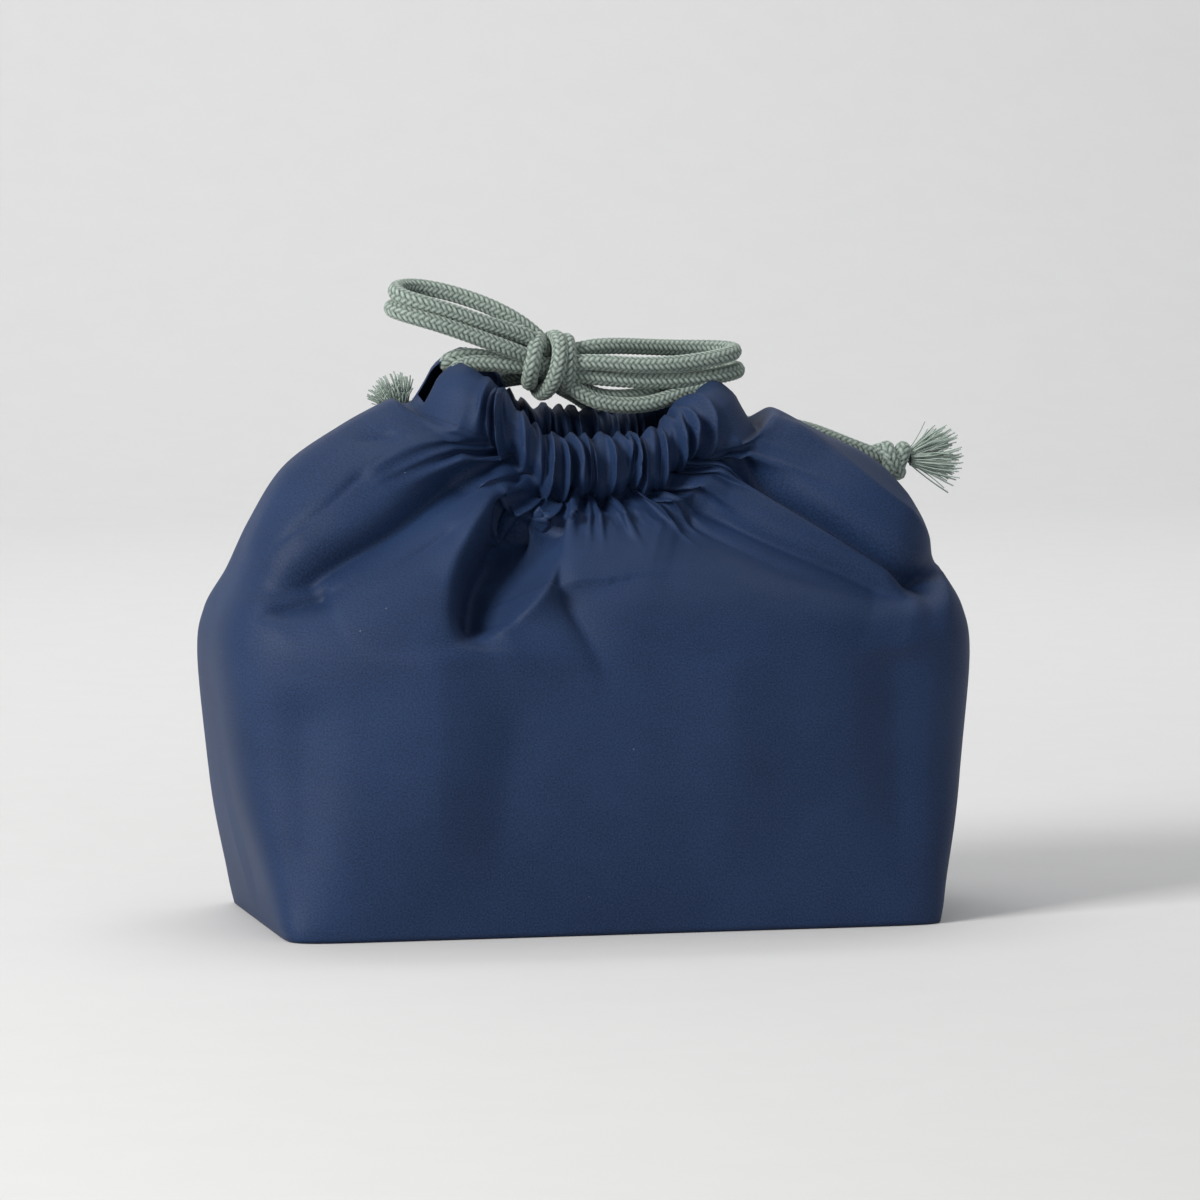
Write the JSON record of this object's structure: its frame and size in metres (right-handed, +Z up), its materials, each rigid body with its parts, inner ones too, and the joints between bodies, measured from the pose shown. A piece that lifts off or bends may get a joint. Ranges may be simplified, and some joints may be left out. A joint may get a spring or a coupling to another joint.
{
  "type": "kinchaku drawstring pouch",
  "caption": "Soft cloth drawstring pouch with a flat boxed bottom, a gathered casing at the mouth, and braided drawcords tied in a bow with knotted, frayed ends.",
  "frame": {"origin": "middle of the flat base, on the surface the pouch stands on", "axes": "+Z up, +X to the right of somebody facing the front, along the long side of the base, and -Y out of the front"},
  "size_m": [0.256, 0.122, 0.2085],
  "materials": {
    "cloth": "matte navy plain-weave cloth, faint sheen",
    "cord": "matte sage green braided cotton"
  },
  "bodies": {
    "root": {"pouch_body": "cloth", "left_cord_front": "cord", "left_cord_back": "cord", "right_cord_front": "cord", "right_cord_back": "cord", "bow_loop_left_upper": "cord", "bow_loop_left_lower": "cord", "bow_loop_right_upper": "cord", "bow_loop_right_lower": "cord", "left_tail_first": "cord", "left_tail_second": "cord", "right_tail_first": "cord", "right_tail_second": "cord", "left_cord_in_casing": "cord", "right_cord_in_casing": "cord", "bow_knot": "cord", "left_end_knot": "cord", "right_end_knot": "cord", "left_frayed_end": "cord", "right_frayed_end": "cord"}
  },
  "joints": []
}
